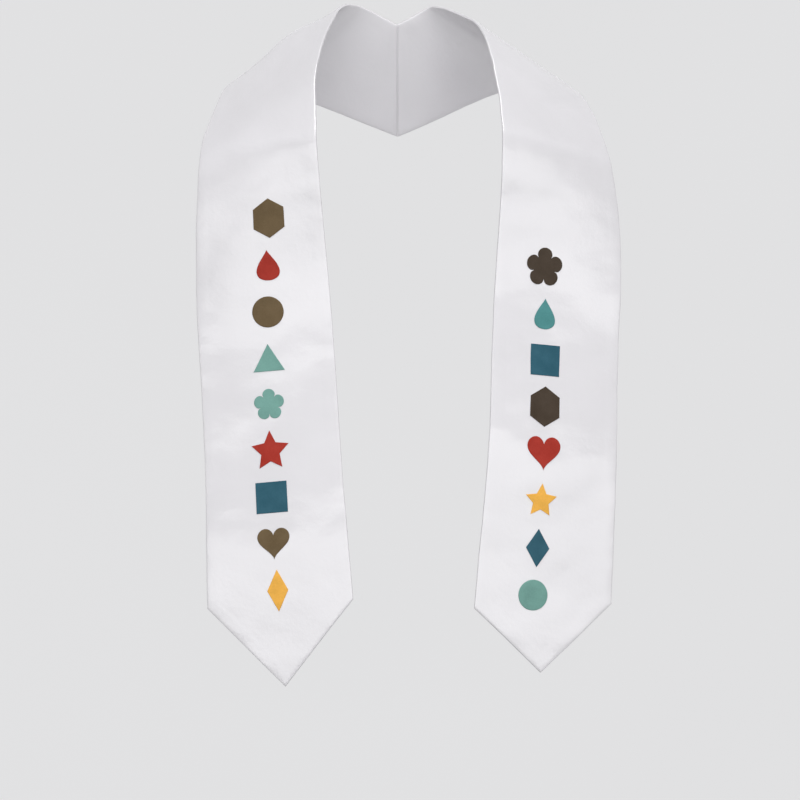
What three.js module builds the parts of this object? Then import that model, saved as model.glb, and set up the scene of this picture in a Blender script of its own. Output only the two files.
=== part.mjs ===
// A graduation stole as it is worn: two long satin halves, seamed together behind the neck, come over the
// shoulders and hang down the front to pointed ends, each with a column of small printed shapes.
// Millimetres. +X is to the right and +Y to the back, as the front is looked at, and +Z is up.
// The origin is the middle of the open neck, level with where the stole rests.
import * as THREE from "three";

// Cloth
const HALF_LENGTH = 645;      // from the nape seam to the tip, down the middle of a half
const NAPE_WIDTH = 88;        // across a half beside the nape seam
const HEM_WIDTH = 116;        // across a half at the two corners of its pointed end
const POINT_DEPTH = 66;       // from the corners of the pointed end to its tip
const CLOTH = 2;              // both layers of satin with the interlining between them
const GAP = 0.3;              // clear space left between neighbouring pieces

// Nape seam
const MITRE_RUN = 39;         // how much sooner the outer edge reaches the seam than the inner edge does
const NAPE_LEAN = 23;         // degrees that the seam slopes out from straight down
const NAPE_BACK = 60;         // from the origin back to the top of the seam
const NAPE_RISE = 36;         // from the origin up to the top of the seam
const NAPE_SHIFT = 7;         // how far the seam has slipped towards the left half

// Relief on top of the bends
const CROWN = 1.5;            // how far the middle of a hanging panel stands out from its edges
const FOLD_RISE = 2;          // height of a fold
const SETTLE = 13;            // how far a panel lies back against the chest, below the edge of the shoulder

// Printed shapes
const FILM = 0.5;             // thickness of the printed film
const PRINT_SIZE = 30;        // side of the square that a full-size shape fills
const PRINT_PITCH = 36.8;     // from one shape to the next down a column
const LEFT_LOWEST = 69;       // from the tip of the left half up to its lowest shape
const RIGHT_LOWEST = 59;      // from the tip of the right half up to its lowest shape

// Fineness of the faceted surfaces
const ALONG_FACETS = 90;
const ACROSS_FACETS = 12;
const BEND_STEPS = 160;
const TURN_WEIGHT = 400;      // degrees of bend that call for as many facets as the whole length does

const WHITE = "#f1eff3";
const BROWN = "#6a5a43";
const UMBER = "#4b4138";
const RED = "#a73a31";
const SAGE = "#74a097";
const TEAL = "#528c8c";
const PETROL = "#365f6e";
const AMBER = "#eab04e";

// How a half widens on the way down: at is a share of HALF_LENGTH, and part a share of what HEM_WIDTH has
// over NAPE_WIDTH.
const WIDENING = [
  { at: 0.00, part: 0.00 },
  { at: 0.20, part: 0.32 },
  { at: 0.50, part: 0.70 },
  { at: 0.75, part: 0.78 },
  { at: 1.00, part: 1.00 },
];

// How each half bends over the shoulder and down the front. The cloth bends along straight lines that cross
// it: at is where a line crosses the middle of the half, as a share of HALF_LENGTH, run is how much nearer
// to the nape the outer end of the line is than its inner end, as a share of HALF_LENGTH, and turn is how
// far the cloth has turned by then, in degrees. The nape seam is the first line.
const LEFT_BENDS = [
  { at: 0.05, run: 0.010, turn: 0 },
  { at: 0.10, run: -0.055, turn: 12 },
  { at: 0.14, run: -0.080, turn: 40 },
  { at: 0.19, run: -0.095, turn: 104 },
  { at: 0.26, run: -0.060, turn: 110 },
  { at: 0.33, run: -0.100, turn: 131 },
  { at: 0.42, run: -0.150, turn: 140 },
  { at: 0.52, run: -0.110, turn: 160 },
  { at: 0.66, run: -0.040, turn: 151 },
  { at: 0.82, run: -0.025, turn: 148 },
  { at: 1.00, run: -0.025, turn: 155 },
];
const RIGHT_BENDS = [
  { at: 0.05, run: 0.010, turn: -12 },
  { at: 0.10, run: -0.050, turn: 15 },
  { at: 0.14, run: -0.108, turn: 52 },
  { at: 0.19, run: -0.075, turn: 75 },
  { at: 0.26, run: -0.075, turn: 108 },
  { at: 0.33, run: -0.085, turn: 117 },
  { at: 0.42, run: -0.095, turn: 134 },
  { at: 0.52, run: -0.080, turn: 147 },
  { at: 0.66, run: -0.035, turn: 141 },
  { at: 0.82, run: -0.010, turn: 148 },
  { at: 1.00, run: 0.000, turn: 144 },
];

// Soft folds and dents: at is a share of HALF_LENGTH and across a share of HEM_WIDTH out from the middle
// line, slant is how far the line of the fold turns from straight across towards the tip at its outer end,
// in degrees, reach is half its length and spread half its width, as shares of HEM_WIDTH, and rise is a
// share of FOLD_RISE, below zero for a dent. Each half is drawn in along the neck first, and then come the
// folds further down.
const LEFT_FOLDS = [
  { at: 0.135, across: -0.40, slant: 30, reach: 0.30, spread: 0.20, rise: -2.2 },
  { at: 0.160, across: -0.08, slant: 30, reach: 0.22, spread: 0.20, rise: 2.0 },
  { at: 0.335, across: 0.00, slant: -12, reach: 0.60, spread: 0.14, rise: 1.0 },
  { at: 0.700, across: 0.10, slant: 35, reach: 0.45, spread: 0.20, rise: -0.5 },
  { at: 0.850, across: 0.15, slant: 30, reach: 0.45, spread: 0.16, rise: 0.5 },
];
const RIGHT_FOLDS = [
  { at: 0.130, across: -0.40, slant: 30, reach: 0.30, spread: 0.22, rise: -0.8 },
  { at: 0.268, across: -0.08, slant: 20, reach: 0.30, spread: 0.08, rise: 0.9 },
  { at: 0.290, across: 0.10, slant: -18, reach: 0.38, spread: 0.07, rise: -0.9 },
  { at: 0.350, across: 0.00, slant: 8, reach: 0.55, spread: 0.11, rise: 0.9 },
  { at: 0.760, across: 0.05, slant: -25, reach: 0.45, spread: 0.18, rise: 0.4 },
];

// How far each panel lies back from where its bends would leave it: at is a share of HALF_LENGTH, and back
// a share of SETTLE. It leaves the shoulder at a crease, and lower down it swings out a little and back
// again.
const LEFT_SETTLING = [
  { at: 0.00, back: 0.00 },
  { at: 0.34, back: 0.00 },
  { at: 0.40, back: 0.44 },
  { at: 0.44, back: 0.88 },
  { at: 0.48, back: 1.08 },
  { at: 0.60, back: 0.87 },
  { at: 0.74, back: 0.82 },
  { at: 0.80, back: 0.86 },
  { at: 0.90, back: 1.20 },
  { at: 1.00, back: 1.45 },
];
const RIGHT_SETTLING = [
  { at: 0.00, back: 0.00 },
  { at: 0.35, back: 0.00 },
  { at: 0.40, back: 0.35 },
  { at: 0.44, back: 0.75 },
  { at: 0.50, back: 1.00 },
  { at: 0.60, back: 0.83 },
  { at: 0.70, back: 0.58 },
  { at: 0.80, back: 0.49 },
  { at: 0.90, back: 0.44 },
  { at: 1.00, back: 0.60 },
];

// The printed shapes from the top of each column to its bottom. wide and tall are shares of PRINT_SIZE, and
// across is a share of HEM_WIDTH out from the middle line.
const LEFT_PRINTS = [
  { name: "left_hexagon", shape: "hexagon", wide: 0.97, tall: 1.05, across: -0.090, color: BROWN },
  { name: "left_drop", shape: "drop", wide: 0.68, tall: 0.80, across: -0.060, color: RED },
  { name: "left_disc", shape: "disc", wide: 0.84, tall: 0.82, across: -0.035, color: BROWN },
  { name: "left_triangle", shape: "triangle", wide: 0.84, tall: 0.76, across: -0.015, color: SAGE },
  { name: "left_flower", shape: "flower", wide: 0.82, tall: 0.84, across: 0.000, color: SAGE },
  { name: "left_star", shape: "star", wide: 1.05, tall: 1.10, across: 0.010, color: RED },
  { name: "left_square", shape: "square", wide: 0.84, tall: 0.82, across: 0.015, color: PETROL },
  { name: "left_heart", shape: "heart", wide: 0.86, tall: 0.82, across: 0.015, color: BROWN },
  { name: "left_diamond", shape: "diamond", wide: 0.56, tall: 1.10, across: 0.005, color: AMBER },
];
const RIGHT_PRINTS = [
  { name: "right_flower", shape: "flower", wide: 1.02, tall: 1.04, across: -0.120, color: UMBER },
  { name: "right_drop", shape: "drop", wide: 0.64, tall: 0.82, across: -0.100, color: TEAL },
  { name: "right_square", shape: "square", wide: 0.82, tall: 0.82, across: -0.085, color: PETROL },
  { name: "right_hexagon", shape: "hexagon", wide: 0.96, tall: 1.06, across: -0.080, color: UMBER },
  { name: "right_heart", shape: "heart", wide: 0.94, tall: 0.88, across: -0.080, color: RED },
  { name: "right_star", shape: "star", wide: 0.92, tall: 0.90, across: -0.080, color: AMBER },
  { name: "right_diamond", shape: "diamond", wide: 0.66, tall: 1.00, across: -0.080, color: PETROL },
  { name: "right_disc", shape: "disc", wide: 0.82, tall: 0.80, across: -0.090, color: SAGE },
];

// Reads a column of a table between its rows, on a smooth curve that never overshoots them.
function readColumn(rows, column, at) {
  const last = rows.length - 1;
  let row = 0;
  while (row < last - 1 && rows[row + 1].at < at) row += 1;
  const span = (n) => rows[n + 1].at - rows[n].at;
  const rise = (n) => (rows[n + 1][column] - rows[n][column]) / span(n);
  const slope = (n) => {
    if (n === 0) return rise(0);
    if (n === last) return rise(last - 1);
    const product = rise(n - 1) * rise(n);
    return product > 0 ? (2 * product) / (rise(n - 1) + rise(n)) : 0;
  };
  const f = THREE.MathUtils.clamp((at - rows[row].at) / span(row), 0, 1);
  const g = 1 - f;
  const start = rows[row][column] + f * (2 * rows[row][column] + span(row) * slope(row));
  const end = rows[row + 1][column] + g * (2 * rows[row + 1][column] - span(row) * slope(row + 1));
  return g * g * start + f * f * end;
}

// Flat width of a half at a share of its length.
function flatWidth(at) {
  return NAPE_WIDTH + (HEM_WIDTH - NAPE_WIDTH) * readColumn(WIDENING, "part", at);
}

// How much nearer to the nape the outer end of a bend line is than its inner end.
function bendRun(half, at) {
  return HALF_LENGTH * readColumn(half.bends, "run", at);
}

// The flat pattern of a half has x along it from the nape, y across it from the inner edge to the outer
// one, with 0 on the middle line, and z out of its face. The list holds where each narrow strip of the
// pattern lies once it is bent, from the nape to the tip, for the right half.
function bentStrips(half) {
  const mitre = Math.atan2(MITRE_RUN, NAPE_WIDTH);
  const lean = THREE.MathUtils.degToRad(NAPE_LEAN);
  const sideways = new THREE.Vector3(1, 0, 0);
  const down = new THREE.Vector3(0, Math.sin(lean), -Math.cos(lean));
  const along = sideways.clone().multiplyScalar(Math.cos(mitre)).addScaledVector(down, -Math.sin(mitre));
  const across = sideways.clone().multiplyScalar(Math.sin(mitre)).addScaledVector(down, Math.cos(mitre));
  const strip = new THREE.Matrix4().makeBasis(along, across, along.clone().cross(across));
  const seamTop = new THREE.Vector3(MITRE_RUN / 2, -NAPE_WIDTH / 2, 0).applyMatrix4(strip);
  strip.setPosition(new THREE.Vector3(GAP / 2, NAPE_BACK, NAPE_RISE).sub(seamTop));
  const strips = [strip.clone()];
  for (let step = 1; step <= BEND_STEPS; step += 1) {
    const at = step / BEND_STEPS;
    const turned = readColumn(half.bends, "turn", at) - readColumn(half.bends, "turn", at - 1 / BEND_STEPS);
    const line = new THREE.Vector3(-bendRun(half, at), flatWidth(at), 0).normalize();
    const bend = new THREE.Matrix4().makeRotationAxis(line, THREE.MathUtils.degToRad(turned));
    strip.multiply(new THREE.Matrix4().makeTranslation(at * HALF_LENGTH, 0, 0));
    strip.multiply(bend);
    strip.multiply(new THREE.Matrix4().makeTranslation(-at * HALF_LENGTH, 0, 0));
    strips.push(strip.clone());
  }
  return strips;
}

// The share of the length at which the bend line through a point of the flat pattern crosses its middle
// line.
function bendLineThrough(half, along, across) {
  let near = 0;
  let far = 1;
  for (let halving = 0; halving < 30; halving += 1) {
    const at = (near + far) / 2;
    const reached = at * HALF_LENGTH - (across / flatWidth(at)) * bendRun(half, at);
    if (reached < along) near = at;
    else far = at;
  }
  return (near + far) / 2;
}

// Where a point of the flat pattern, out from its mid-surface, lies on the worn stole.
function bentPoint(half, along, across, out) {
  const step = bendLineThrough(half, along, across) * BEND_STEPS;
  const first = Math.min(Math.floor(step), BEND_STEPS - 1);
  const point = new THREE.Vector3(along, across, out).applyMatrix4(half.strips[first]);
  const next = new THREE.Vector3(along, across, out).applyMatrix4(half.strips[first + 1]);
  point.lerp(next, step - first);
  const back = SETTLE * readColumn(half.settling, "back", along / HALF_LENGTH);
  return point.set(half.side * point.x - NAPE_SHIFT, point.y + back, point.z);
}

// How far the mid-surface stands out at a point of the flat pattern: the crown of the hanging panel and the
// folds.
function relief(half, along, across) {
  const at = along / HALF_LENGTH;
  const edge = (2 * across) / flatWidth(at);
  let out = CROWN * (1 - edge * edge) * THREE.MathUtils.smoothstep(at, 0.34, 0.5);
  for (const fold of half.folds) {
    const slant = THREE.MathUtils.degToRad(fold.slant);
    const ahead = along - fold.at * HALF_LENGTH;
    const aside = across - fold.across * HEM_WIDTH;
    const off = (ahead * Math.cos(slant) - aside * Math.sin(slant)) / (fold.spread * HEM_WIDTH);
    const on = (ahead * Math.sin(slant) + aside * Math.cos(slant)) / (fold.reach * HEM_WIDTH);
    out += fold.rise * FOLD_RISE * Math.exp(-off * off - on * on);
  }
  return out;
}

// The share of the length that each row of facets ends at. The rows lie closer together where the cloth
// bends more.
function rowShares(half) {
  const reached = [0];
  for (let step = 1; step <= BEND_STEPS; step += 1) {
    const before = readColumn(half.bends, "turn", (step - 1) / BEND_STEPS);
    const turned = Math.abs(readColumn(half.bends, "turn", step / BEND_STEPS) - before);
    reached.push(reached[step - 1] + 1 / BEND_STEPS + turned / TURN_WEIGHT);
  }
  const shares = [];
  let step = 0;
  for (let row = 0; row <= ALONG_FACETS; row += 1) {
    const wanted = (row / ALONG_FACETS) * reached[BEND_STEPS];
    while (step < BEND_STEPS - 1 && reached[step + 1] < wanted) step += 1;
    shares.push((step + (wanted - reached[step]) / (reached[step + 1] - reached[step])) / BEND_STEPS);
  }
  return shares;
}

// One half of the stole. Its cross rows follow the bend lines, and near the end they take the shape of the
// point.
function clothHalf(half) {
  const shares = rowShares(half);
  const geometry = new THREE.BoxGeometry(1, 1, 1, ALONG_FACETS, ACROSS_FACETS, 1);
  const position = geometry.attributes.position;
  for (let n = 0; n < position.count; n += 1) {
    const at = shares[Math.round((position.getX(n) + 0.5) * ALONG_FACETS)];
    const share = half.side * position.getY(n);
    const pointed = THREE.MathUtils.smoothstep(at, 0.7, 1);
    const back = share * bendRun(half, at) * (1 - pointed) + Math.abs(2 * share) * POINT_DEPTH * pointed;
    const along = at * HALF_LENGTH - back;
    const across = share * flatWidth(at);
    const out = position.getZ(n) * CLOTH + relief(half, along, across);
    const point = bentPoint(half, along, across, out);
    position.setXYZ(n, point.x, point.y, point.z);
  }
  return geometry;
}

// Corner points at even angles about the middle, the first at the top, each at the radius given for it.
function pointsAround(count, radius) {
  const points = [];
  for (let n = 0; n < count; n += 1) {
    const angle = (2 * Math.PI * n) / count;
    points.push(new THREE.Vector2(radius(n, angle) * Math.sin(angle), radius(n, angle) * Math.cos(angle)));
  }
  return points;
}

function cornersAt(...corners) {
  return corners.map(([x, y]) => new THREE.Vector2(x, y));
}

// Corner points at even steps of a turn, on a curve that gives x and y for each turn.
function pointsOn(count, curve) {
  const points = [];
  for (let n = 0; n < count; n += 1) points.push(new THREE.Vector2(...curve((2 * Math.PI * n) / count)));
  return points;
}

function heartPoint(turn) {
  const rise = 13 * Math.cos(turn) - 5 * Math.cos(2 * turn) - 2 * Math.cos(3 * turn) - Math.cos(4 * turn);
  return [Math.sin(turn) ** 3, (rise + 2.5) / 14.5];
}

// Splits each side of an outline into equal parts, so that it can follow the bent cloth.
function splitSides(corners, parts) {
  const points = [];
  corners.forEach((corner, n) => {
    const next = corners[(n + 1) % corners.length];
    for (let part = 0; part < parts; part += 1) points.push(corner.clone().lerp(next, part / parts));
  });
  return points;
}

// Outlines of the printed shapes, in a square from -1 to 1 with y towards the nape.
const OUTLINES = {
  disc: pointsAround(16, () => 1),
  flower: pointsAround(20, (n, angle) => 0.58 + 0.42 * Math.sqrt(Math.abs(Math.cos(2.5 * angle)))),
  star: splitSides(pointsAround(10, (n) => (n % 2 ? 0.5 : 1)), 2),
  hexagon: splitSides(pointsAround(6, () => 1), 3),
  diamond: splitSides(pointsAround(4, () => 1), 4),
  square: splitSides(cornersAt([-1, 1], [1, 1], [1, -1], [-1, -1]), 4),
  triangle: splitSides(cornersAt([0, 1], [1, -0.9], [-1, -0.9]), 6),
  drop: pointsOn(16, (turn) => [1.3 * Math.sin(turn) * Math.sin(turn / 2) ** 1.5, Math.cos(turn)]),
  heart: pointsOn(20, heartPoint),
};

// One printed shape: a thin film that lies just clear of the cloth and follows it.
function printedShape(half, print, along) {
  const outline = OUTLINES[print.shape];
  const under = CLOTH / 2 + GAP;
  const section = [
    new THREE.Vector2(0, under + FILM),
    new THREE.Vector2(0.5, under + FILM),
    new THREE.Vector2(1, under + FILM),
    new THREE.Vector2(1, under),
    new THREE.Vector2(0.5, under),
    new THREE.Vector2(0, under),
  ];
  const geometry = new THREE.LatheGeometry(section, outline.length);
  const position = geometry.attributes.position;
  for (let n = 0; n < position.count; n += 1) {
    const corner = outline[Math.floor(n / section.length) % outline.length];
    const ring = section[n % section.length];
    const ahead = along - (ring.x * corner.y * print.tall * PRINT_SIZE) / 2;
    const aside = print.across * HEM_WIDTH + (half.side * ring.x * corner.x * print.wide * PRINT_SIZE) / 2;
    const point = bentPoint(half, ahead, aside, ring.y + relief(half, ahead, aside));
    position.setXYZ(n, point.x, point.y, point.z);
  }
  return geometry;
}

function namedMesh(name, geometry, color, roughness) {
  geometry.computeVertexNormals();
  const mesh = new THREE.Mesh(geometry, new THREE.MeshStandardMaterial({ color, roughness, metalness: 0 }));
  mesh.name = name;
  return mesh;
}

// A half with its column of printed shapes. side is 1 for the right half and -1 for the left one.
function halfWithPrints(name, side, { bends, folds, settling, prints, lowest }) {
  const seam = { at: 0, run: MITRE_RUN / HALF_LENGTH, turn: 0 };
  const half = { side, bends: [seam, ...bends], folds, settling };
  half.strips = bentStrips(half);
  const group = new THREE.Group();
  group.add(namedMesh(name, clothHalf(half), WHITE, 0.45));
  prints.forEach((print, n) => {
    const along = HALF_LENGTH - lowest - (prints.length - 1 - n) * PRINT_PITCH;
    group.add(namedMesh(print.name, printedShape(half, print, along), print.color, 0.6));
  });
  return group;
}

const stole = new THREE.Group();
stole.add(halfWithPrints("left_half", -1, {
  bends: LEFT_BENDS,
  folds: LEFT_FOLDS,
  settling: LEFT_SETTLING,
  prints: LEFT_PRINTS,
  lowest: LEFT_LOWEST,
}));
stole.add(halfWithPrints("right_half", 1, {
  bends: RIGHT_BENDS,
  folds: RIGHT_FOLDS,
  settling: RIGHT_SETTLING,
  prints: RIGHT_PRINTS,
  lowest: RIGHT_LOWEST,
}));

export default stole;
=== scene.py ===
import math

import bpy
import numpy as np
from bpy.props import FloatProperty, FloatVectorProperty, IntProperty, PointerProperty
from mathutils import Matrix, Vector, noise


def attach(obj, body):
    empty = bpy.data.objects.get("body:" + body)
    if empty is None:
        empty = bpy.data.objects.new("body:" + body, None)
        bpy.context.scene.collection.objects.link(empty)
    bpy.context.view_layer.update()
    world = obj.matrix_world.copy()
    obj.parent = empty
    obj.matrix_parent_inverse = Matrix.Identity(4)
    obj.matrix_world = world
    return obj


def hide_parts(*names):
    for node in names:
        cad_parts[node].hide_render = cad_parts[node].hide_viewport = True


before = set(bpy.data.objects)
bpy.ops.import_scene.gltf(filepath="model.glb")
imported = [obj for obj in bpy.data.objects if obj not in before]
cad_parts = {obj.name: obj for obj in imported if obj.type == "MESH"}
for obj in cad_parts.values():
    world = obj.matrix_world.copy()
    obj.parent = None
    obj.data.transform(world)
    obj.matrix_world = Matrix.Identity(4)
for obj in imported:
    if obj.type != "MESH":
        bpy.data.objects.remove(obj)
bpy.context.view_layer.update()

bl_info = {
    "name": "Graduation stole",
    "version": (1, 0, 0),
    "blender": (4, 5, 0),
    "location": "3D View > Sidebar > Stole",
    "description": "Drapes the halves of a graduation stole, prints its shapes and sets up a plain studio",
    "category": "Object",
}

MM = 0.001

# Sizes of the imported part, in millimetres and degrees. LEFT_LOWEST and RIGHT_LOWEST run from the tip up to
# the middle of the lowest print.
HALF_LENGTH = 645
NAPE_WIDTH = 88
HEM_WIDTH = 116
POINT_DEPTH = 66
CLOTH = 2
GAP = 0.3
MITRE_RUN = 39
NAPE_LEAN = 23
NAPE_BACK = 60
NAPE_RISE = 36
NAPE_SHIFT = 7
CROWN = 1.5
FOLD_RISE = 2
SETTLE = 13
PRINT_SIZE = 30
PRINT_PITCH = 36.8
LEFT_LOWEST = 69
RIGHT_LOWEST = 59
BEND_STEPS = 160

# Where the crown of a hanging panel starts, and where it is full, as shares of HALF_LENGTH
CROWN_STARTS = 0.34
CROWN_FULL = 0.50

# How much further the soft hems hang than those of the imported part, in millimetres: at the tip, and at
# the inner and the outer corner
LEFT_DROPS = (6, 8, 7)
RIGHT_DROPS = (1, 20, 10)

# How a half widens on the way down: a share of HALF_LENGTH, and a share of what HEM_WIDTH has over
# NAPE_WIDTH
WIDENING = {
    "at": (0.00, 0.20, 0.50, 0.75, 1.00),
    "part": (0.00, 0.32, 0.70, 0.78, 1.00),
}

# The lines that each half bends along: where a line crosses the middle of the half and how much nearer to
# the nape its outer end is, as shares of HALF_LENGTH, and how far the cloth has turned by then, in
# degrees
LEFT_BENDS = {
    "at": (0.00, 0.05, 0.10, 0.14, 0.19, 0.26, 0.33, 0.42, 0.52, 0.66, 0.82, 1.00),
    "run": (
        MITRE_RUN / HALF_LENGTH, 0.010, -0.055, -0.080, -0.095, -0.060,
        -0.100, -0.150, -0.110, -0.040, -0.025, -0.025,
    ),
    "turn": (0, 0, 12, 40, 104, 110, 131, 140, 160, 151, 148, 155),
}
RIGHT_BENDS = {
    "at": (0.00, 0.05, 0.10, 0.14, 0.19, 0.26, 0.33, 0.42, 0.52, 0.66, 0.82, 1.00),
    "run": (
        MITRE_RUN / HALF_LENGTH, 0.010, -0.050, -0.108, -0.075, -0.075,
        -0.085, -0.095, -0.080, -0.035, -0.010, 0.000,
    ),
    "turn": (0, -12, 15, 52, 75, 108, 117, 134, 147, 141, 148, 144),
}

# How far each panel lies back from where its bends would leave it: a share of HALF_LENGTH, and a share of
# SETTLE
LEFT_SETTLING = {
    "at": (0.00, 0.34, 0.40, 0.44, 0.48, 0.60, 0.74, 0.80, 0.90, 1.00),
    "back": (0.00, 0.00, 0.44, 0.88, 1.08, 0.87, 0.82, 0.86, 1.20, 1.45),
}
RIGHT_SETTLING = {
    "at": (0.00, 0.35, 0.40, 0.44, 0.50, 0.60, 0.70, 0.80, 0.90, 1.00),
    "back": (0.00, 0.00, 0.35, 0.75, 1.00, 0.83, 0.58, 0.49, 0.44, 0.60),
}

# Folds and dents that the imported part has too: at, across, slant in degrees, reach, spread and rise. at
# is a share of HALF_LENGTH, across, reach and spread shares of HEM_WIDTH, and rise a share of FOLD_RISE.
LEFT_FOLDS = (
    (0.135, -0.40, 30, 0.30, 0.20, -2.2),
    (0.160, -0.08, 30, 0.22, 0.20, 2.0),
    (0.335, 0.00, -12, 0.60, 0.14, 1.0),
    (0.700, 0.10, 35, 0.45, 0.20, -0.5),
    (0.850, 0.15, 30, 0.45, 0.16, 0.5),
)
RIGHT_FOLDS = (
    (0.130, -0.40, 30, 0.30, 0.22, -0.8),
    (0.268, -0.08, 20, 0.30, 0.08, 0.9),
    (0.290, 0.10, -18, 0.38, 0.07, -0.9),
    (0.350, 0.00, 8, 0.55, 0.11, 0.9),
    (0.760, 0.05, -25, 0.45, 0.18, 0.4),
)

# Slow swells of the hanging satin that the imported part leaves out: at, across, reach, spread and how far
# back, in millimetres. at and spread are shares of HALF_LENGTH, across and reach shares of HEM_WIDTH.
LEFT_SWELLS = (
    (0.340, 0.00, 2.00, 0.055, -3.5),
    (0.385, 0.50, 0.40, 0.060, -4.4),
    (0.530, 0.00, 2.00, 0.080, 2.6),
    (0.550, 0.50, 0.40, 0.075, 5.2),
    (0.450, 0.55, 0.24, 0.040, -2.0),
    (0.530, 0.55, 0.24, 0.045, 2.2),
    (0.370, -0.45, 0.30, 0.050, 1.5),
    (0.470, -0.45, 0.30, 0.050, -1.5),
    (0.630, 0.00, 2.00, 0.090, 2.0),
    (0.850, 0.00, 2.00, 0.080, -2.4),
)
RIGHT_SWELLS = (
    (0.345, 0.00, 2.00, 0.055, -3.5),
    (0.370, 0.30, 0.80, 0.070, -2.4),
    (0.545, 0.10, 1.50, 0.085, 2.6),
    (0.735, 0.00, 2.00, 0.085, -1.6),
)

# The printed shapes from the top of each column down: shape, wide and tall as shares of PRINT_SIZE, how
# far out from the middle line as a share of HEM_WIDTH, and ink
LEFT_PRINTS = (
    ("hexagon", 0.97, 1.05, -0.090, "brown"),
    ("drop", 0.68, 0.80, -0.060, "red"),
    ("disc", 0.84, 0.82, -0.035, "brown"),
    ("triangle", 0.84, 0.76, -0.015, "sage"),
    ("flower", 0.82, 0.84, 0.000, "sage"),
    ("star", 1.05, 1.10, 0.010, "red"),
    ("square", 0.84, 0.82, 0.015, "petrol"),
    ("heart", 0.86, 0.82, 0.015, "brown"),
    ("diamond", 0.56, 1.10, 0.005, "amber"),
)
RIGHT_PRINTS = (
    ("flower", 1.02, 1.04, -0.120, "umber"),
    ("drop", 0.64, 0.82, -0.100, "teal"),
    ("square", 0.82, 0.82, -0.085, "petrol"),
    ("hexagon", 0.96, 1.06, -0.080, "umber"),
    ("heart", 0.94, 0.88, -0.080, "red"),
    ("star", 0.92, 0.90, -0.080, "amber"),
    ("diamond", 0.66, 1.00, -0.080, "petrol"),
    ("disc", 0.82, 0.80, -0.090, "sage"),
)

# Section of a sewn and pressed edge, from the seam inwards: distance from the outline in millimetres, and
# height as a share of half the thickness. The seam lies in a groove between the face and the lining.
EDGE_SECTION = ((0.30, 0.0), (0.0, 0.36), (0.22, 0.74), (0.8, 0.95), (1.8, 1.0))

# How the rows and columns of a half are laid out. Columns within EDGE_BAND millimetres of the outline keep
# their distance from it. From POINT_STARTS down, a share of HALF_LENGTH, the rows take the shape of the
# point, and from DROP_STARTS down they hang further by the drops.
EDGE_BAND = 4
POINT_STARTS = 0.70
DROP_STARTS = 0.75

# The ridge over the turned-in cloth: it rises between two distances from the edge, and falls between two
# distances from the end of the seam allowance, in millimetres
RIDGE_NEAR = (1, 3)
RIDGE_FAR = (-1, 1.5)

# Soft creases: how much longer they are across the half than along it, how strong a finer layer of them
# is, how many times closer the finer ones lie along and across, and where in the noise each layer is read
CREASE_STRETCH = 1.6
FINE_CREASE = 0.3
FINE_ALONG = 2.6
FINE_ACROSS = 2.1
CREASE_PLACE = 3.1
FINE_PLACE = 7.7

# Puckers beside the edge seams, in millimetres: their spacing along the edge, how far across they keep
# their shape and how far in they reach, and where in the noise they are read
PUCKER_PITCH = 9
PUCKER_RUN = 40
PUCKER_REACH = 7
PUCKER_PLACE = 0.4

# Where the flat pattern lies in the UV map, in millimetres, and how far beside its face the lining does,
# in metres
FLAT_CORNER = (60, 30)
LINING_ASIDE = 0.2

# Section of a printed film from its middle round its edge to the middle of its underside: distance out as
# a share of the outline, and height as a share of the film
FILM_SECTION = (
    (0, 1), (0.2, 1), (0.4, 1), (0.6, 1), (0.8, 1), (0.93, 1), (0.99, 0.95),
    (1, 0.4), (0.99, 0), (0.75, 0), (0.5, 0), (0.25, 0), (0, 0),
)

# The rows of stitches on the nape seam: how far to either side of its middle they run as a share of its
# length, how far out they lie as a share of half the cloth, and how many points each row is drawn through
SEWN_SHARE = 0.485
STITCH_OUT = 0.96
SEAM_POINTS = 40

# The studio floor in metres: where it starts to sweep up, the radius of the sweep and the height of the
# backdrop, and how many sides it is drawn with
FLOOR_RADIUS = 3.6
SWEEP_RADIUS = 1.4
BACKDROP_HEIGHT = 6.0
FLOOR_SIDES = 96

# The soft lights in metres: what they aim at, and the size and place of each
LIGHT_AIM = (0, 0, -0.2)
KEY_SIZE = (8.4, 1.5)
KEY_PLACE = (0.4, -2.6, -0.25)
TOP_SIZE = (1.6, 1.6)
TOP_PLACE = (0.0, -1.2, 2.0)
BACK_SIZE = (3.4, 2.2)
BACK_PLACE = (0.5, 2.7, 0.35)

# The camera: place and how far it sees in metres, lens and sensor width in millimetres
CAMERA_PLACE = (-0.0048, -2.4, -0.272)
SIGHT = 50
LENS = 135
SENSOR = 36


def smoothstep(value, low, high):
    t = np.clip((np.asarray(value, float) - low) / (high - low), 0, 1)
    return t * t * (3 - 2 * t)


def read_column(table, column, at):
    """Reads a column of a table between its rows, on a smooth curve that never overshoots them."""
    places = np.array(table["at"], float)
    values = np.array(table[column], float)
    spans = np.diff(places)
    rises = np.diff(values) / spans
    product = rises[:-1] * rises[1:]
    total = np.where(product > 0, rises[:-1] + rises[1:], 1.0)
    slopes = np.concatenate(([rises[0]], np.where(product > 0, 2 * product / total, 0.0), [rises[-1]]))
    row = np.clip(np.searchsorted(places, at) - 1, 0, len(places) - 2)
    f = np.clip((at - places[row]) / spans[row], 0, 1)
    g = 1 - f
    start = values[row] + f * (2 * values[row] + spans[row] * slopes[row])
    end = values[row + 1] + g * (2 * values[row + 1] - spans[row] * slopes[row + 1])
    return g * g * start + f * f * end


def flat_width(at):
    return NAPE_WIDTH + (HEM_WIDTH - NAPE_WIDTH) * read_column(WIDENING, "part", at)


def turned(line, angle):
    """The matrix of a turn about a line through the origin."""
    x, y, z = line
    skew = np.array(((0, -z, y), (z, 0, -x), (-y, x, 0)))
    whole = np.eye(4)
    whole[:3, :3] += math.sin(angle) * skew + (1 - math.cos(angle)) * skew @ skew
    return whole


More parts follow.
